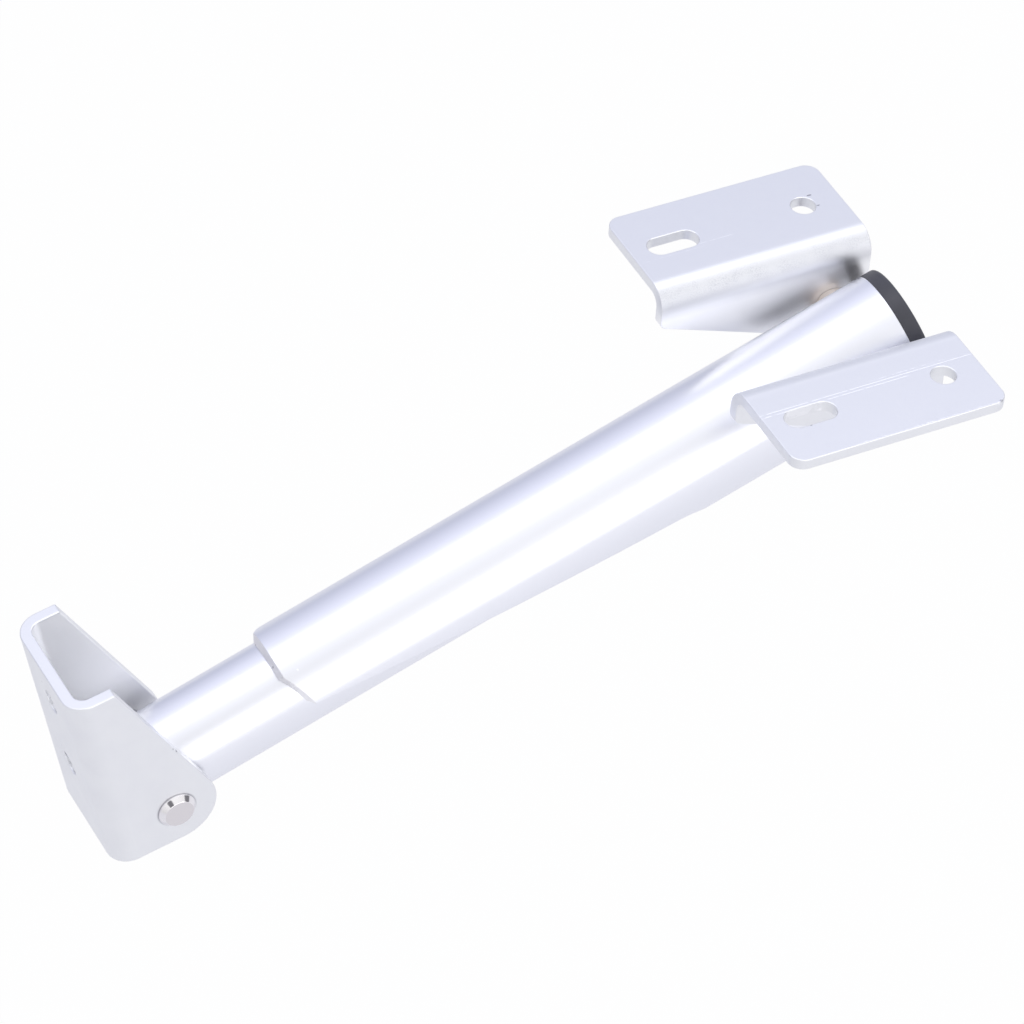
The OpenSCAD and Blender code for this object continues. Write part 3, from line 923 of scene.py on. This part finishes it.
@dataclass
class PlainNodes:
    """Small and hidden solids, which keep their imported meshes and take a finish.

    Attributes:
        finishes: Finish of each node.
    """

    finishes: dict[str, Finish] = field(default_factory=dict)

    def dress(self) -> None:
        """Gives each node its finish."""
        for node, finish in self.finishes.items():
            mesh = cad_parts[node].data
            mesh.materials.clear()
            mesh.materials.append(finish.material())
            LOG.info("%s: %s", node, finish.name)


@dataclass
class WallChannel:
    """The channel on the wall with its pivot bolt, nut and washers."""

    body: str = "wall_channel"
    edge: float = 0.45 * MM

    def build(self) -> None:
        """Builds the channel and its fasteners."""
        EasedSolid(
            "wall_bracket", "wall_channel_sheet", self.body, CHANNEL_SILVER, self.edge
        ).build()
        ThreadedBolt("wall_pivot_bolt", "wall_pivot_bolt_dressed", self.body, WALL_PLATING,
                     0.15 * MM, centre=tuple(WALL_PIVOT)).build()
        EasedSolid("wall_pivot_nut", "wall_pivot_nut_dressed", self.body, WALL_PLATING,
                   0.2 * MM).build()
        PlainNodes({
            "wall_washer_near": WALL_PLATING,
            "wall_washer_far": WALL_PLATING,
        }).dress()


@dataclass
class LowerStrut:
    """The inner tube with its plug, sleeve, knee pin and spacers."""

    body: str = "lower_strut"

    def build(self) -> None:
        """Builds the tube and dresses what it holds."""
        SawnTube("inner_tube", "inner_tube_dressed", self.body, TUBE_SATIN, 0.25 * MM).build()
        PlainNodes({
            "inner_tube_plug": BLACK_CAP,
            "wall_pivot_sleeve": WALL_PLATING,
            "knee_pin": TABLE_PLATING,
            "knee_spacer_near": CREAM_NYLON,
            "knee_spacer_far": CREAM_NYLON,
        }).dress()


@dataclass
class UpperStrut:
    """The outer tube with its cap, knee arm, bush, guide and table pivot."""

    body: str = "upper_strut"

    def build(self) -> None:
        """Builds the tube, cap and pivot and dresses what they hold."""
        SawnTube("outer_tube", "outer_tube_dressed", self.body, TUBE_SATIN, 0.25 * MM,
                 drop=TUBE_LIFT).build()
        EasedSolid("end_cap", "end_cap_dressed", self.body, BLACK_CAP, 0.2 * MM).build()
        ThreadedBolt("table_pivot_bolt", "table_pivot_bolt_dressed", self.body, TABLE_PLATING,
                     0.15 * MM, centre=tuple(TABLE_PIVOT)).build()
        EasedSolid("table_pivot_nut", "table_pivot_nut_dressed", self.body, TABLE_PLATING,
                   0.2 * MM).build()
        PlainNodes({
            "knee_arm": ARM_ZINC,
            "knee_bush": CREAM_NYLON,
            "arm_guide": BLACK_CAP,
            "table_pivot_sleeve": TABLE_PLATING,
            "table_washer_near": CREAM_NYLON,
            "table_washer_far": CREAM_NYLON,
        }).dress()


@dataclass
class TableAngle:
    """One of the two angles under the table.

    Attributes:
        side: near or far.
        finish: The angle's finish.
        edge: Radius of its eased edges.
    """

    side: str
    finish: Finish
    edge: float = 0.32 * MM

    def build(self) -> None:
        """Builds the angle."""
        EasedSolid(
            f"table_bracket_{self.side}", f"table_angle_{self.side}_sheet",
            f"{self.side}_table_angle", self.finish, self.edge,
        ).build()


@dataclass(frozen=True)
class Softbox:
    """A rectangular lamp that points at the bracket.

    Attributes:
        name: The lamp's name.
        place: Where it stands, in metres.
        size: Its length and height.
        glow: Radiance of its face.
        colour: Its colour.
    """

    name: str
    place: tuple[float, float, float]
    size: tuple[float, float]
    glow: float
    colour: tuple[float, float, float] = (1.0, 1.0, 1.0)

    def build(self, aim: Vector) -> None:
        """Makes the lamp.

        Args:
            aim: The point that it lights.
        """
        lamp = bpy.data.lights.new(self.name, "AREA")
        lamp.shape = "RECTANGLE"
        lamp.size, lamp.size_y = self.size
        lamp.energy = self.glow * math.pi * self.size[0] * self.size[1]
        lamp.color = self.colour
        stand = bpy.data.objects.new(self.name, lamp)
        bpy.context.scene.collection.objects.link(stand)
        stand.location = self.place
        away = (Vector(self.place) - aim).normalized()
        across = Vector((1.0, 0.0, 0.0))
        up = away.cross(across).normalized()
        across = up.cross(away)
        stand.rotation_mode = "QUATERNION"
        stand.rotation_quaternion = Matrix((across, up, away)).transposed().to_quaternion()


@dataclass
class Studio:
    """The white floor, the lamps, the pale room and the camera.

    Attributes:
        floor_z: Height of the floor.
        floor_half: Half the floor's width.
        paper: Linear colour of the floor under the lamps.
        seen_white: How much of the floor's own white the camera sees.
        mirrored_white: How much of it shows in bright metal.
        far_low: Colour of the far side of the room at the horizon.
        far_high: Colour of the far side of the room overhead.
        near_low: Colour of the near side of the room at the horizon.
        near_high: Colour of the near side of the room overhead.
        dim: Colour of the dark things in the room.
        dim_places: Directions of those things, and the cosines at their edge and core.
        camera_place: Where the camera stands.
        camera_turn: Its turn, as a quaternion.
        lens: Its focal length, in millimetres.
        sensor: Width of its sensor, in millimetres.
        lamps: The softboxes.
        lamp_aim: The point that they face.
    """

    floor_z: float = -0.37
    floor_half: float = 3.0
    paper: tuple[float, float, float] = (0.74, 0.74, 0.76)
    seen_white: float = 0.97
    mirrored_white: float = 0.36
    camera_place: tuple[float, float, float] = (-0.257560, -1.249844, 1.454710)
    camera_turn: tuple[float, float, float, float] = (
        0.90003385, 0.35941707, -0.02110674, -0.24558694,
    )
    lens: float = 213.24259
    sensor: float = 36.0
    far_low: tuple[float, float, float] = (0.505, 0.53, 0.65)
    far_high: tuple[float, float, float] = (0.90, 0.92, 1.06)
    near_low: tuple[float, float, float] = (0.78, 0.78, 0.80)
    near_high: tuple[float, float, float] = (1.03, 1.035, 1.05)
    dim: tuple[float, float, float] = (0.20, 0.20, 0.22)
    dim_places: tuple[tuple[tuple[float, float, float], float, float], ...] = (
        ((-0.334, -0.640, 0.690), 0.965, 0.986),
        ((0.942, -0.307, 0.126), 0.955, 0.980),
    )
    lamps: tuple[Softbox, ...] = (
        Softbox("top_softbox", (0.38, 0.20, 1.05), (1.9, 0.50), 1.0),
        Softbox("front_softbox", (0.38, -1.15, 0.28), (1.9, 0.75), 1.0),
    )
    lamp_aim: tuple[float, float, float] = (0.17, 0.0, 0.0)

    def build(self) -> None:
        """Builds the whole studio."""
        self.floor()
        self.room()
        for lamp in self.lamps:
            lamp.build(Vector(self.lamp_aim))
        self.camera()

    def floor(self) -> None:
        """Makes the floor: the camera sees mostly its own white and a little lit paper."""
        shape = bmesh.new()
        bmesh.ops.create_grid(shape, x_segments=1, y_segments=1, size=self.floor_half)
        bmesh.ops.translate(shape, vec=(0.15, 0.0, self.floor_z), verts=shape.verts)
        mesh = bpy.data.meshes.new("studio_floor")
        shape.to_mesh(mesh)
        shape.free()
        ground = bpy.data.objects.new("studio_floor", mesh)
        bpy.context.scene.collection.objects.link(ground)
        paper = bpy.data.materials.new("white_paper")
        paper.use_nodes = True
        graph = NodeGraph(paper.node_tree)
        matt = graph.add("ShaderNodeBsdfDiffuse")
        matt.inputs["Color"].default_value = (*self.paper, 1.0)
        glow = graph.add("ShaderNodeEmission")
        mix = graph.add("ShaderNodeMixShader")
        path = graph.add("ShaderNodeLightPath")
        seen = graph.math("MULTIPLY", path.outputs["Is Camera Ray"], self.seen_white)
        mirrored = graph.math("MULTIPLY", path.outputs["Is Glossy Ray"], self.mirrored_white)
        output = graph.add("ShaderNodeOutputMaterial")
        graph.link(graph.math("MAXIMUM", seen, mirrored), mix.inputs["Fac"])
        graph.link(matt.outputs["BSDF"], mix.inputs[1])
        graph.link(glow.outputs["Emission"], mix.inputs[2])
        graph.link(mix.outputs["Shader"], output.inputs["Surface"])
        mesh.materials.append(paper)

    def room(self) -> None:
        """Makes the room: white to the camera, paler overhead and cooler on the far side.

        Two dark places in it show in the wall bolt's polished head.
        """
        world = bpy.data.worlds.new("pale_room")
        bpy.context.scene.world = world
        world.use_nodes = True
        graph = NodeGraph(world.node_tree)
        place = graph.add("ShaderNodeTexCoord").outputs["Generated"]
        _, y, z = graph.parts(place)
        rise = graph.spread(z, 0.0, 0.78, (0.0, 1.0))
        far = graph.blend(rise, self.far_low, self.far_high)
        near = graph.blend(rise, self.near_low, self.near_high)
        air = graph.blend(graph.spread(y, -0.35, 0.35, (0.0, 1.0)), near, far)
        for direction, edge, core in self.dim_places:
            facing = graph.add("ShaderNodeVectorMath", operation="DOT_PRODUCT")
            graph.link(place, facing.inputs[0])
            facing.inputs[1].default_value = direction
            dark = graph.spread(facing.outputs["Value"], edge, core, (0.0, 1.0))
            air = graph.blend(dark, air, self.dim)
        light = graph.add("ShaderNodeBackground")
        graph.link(air, light.inputs["Color"])
        white = graph.add("ShaderNodeBackground")
        white.inputs["Color"].default_value = (1.0, 1.0, 1.0, 1.0)
        path = graph.add("ShaderNodeLightPath")
        mix = graph.add("ShaderNodeMixShader")
        output = graph.add("ShaderNodeOutputWorld")
        graph.link(path.outputs["Is Camera Ray"], mix.inputs["Fac"])
        graph.link(light.outputs["Background"], mix.inputs[1])
        graph.link(white.outputs["Background"], mix.inputs[2])
        graph.link(mix.outputs["Shader"], output.inputs["Surface"])

    def camera(self) -> None:
        """Makes the camera at the photograph's angle, with the standard view transform."""
        lens = bpy.data.cameras.new("camera")
        lens.sensor_width = self.sensor
        lens.lens = self.lens
        lens.clip_start, lens.clip_end = 0.05, 20.0
        eye = bpy.data.objects.new("camera", lens)
        bpy.context.scene.collection.objects.link(eye)
        eye.rotation_mode = "QUATERNION"
        eye.location = self.camera_place
        eye.rotation_quaternion = Quaternion(self.camera_turn)
        bpy.context.scene.camera = eye
        bpy.context.scene.view_settings.view_transform = "Standard"


def main() -> None:
    """Builds every sub-assembly and the studio."""
    logging.basicConfig(level=logging.INFO, format="%(message)s")
    assemblies = (
        WallChannel(), LowerStrut(), UpperStrut(),
        TableAngle("near", NEAR_SILVER), TableAngle("far", FAR_SILVER),
    )
    for assembly in assemblies:
        LOG.info("building %s", type(assembly).__name__)
        assembly.build()
    Studio().build()


if __name__ == "__main__":
    main()
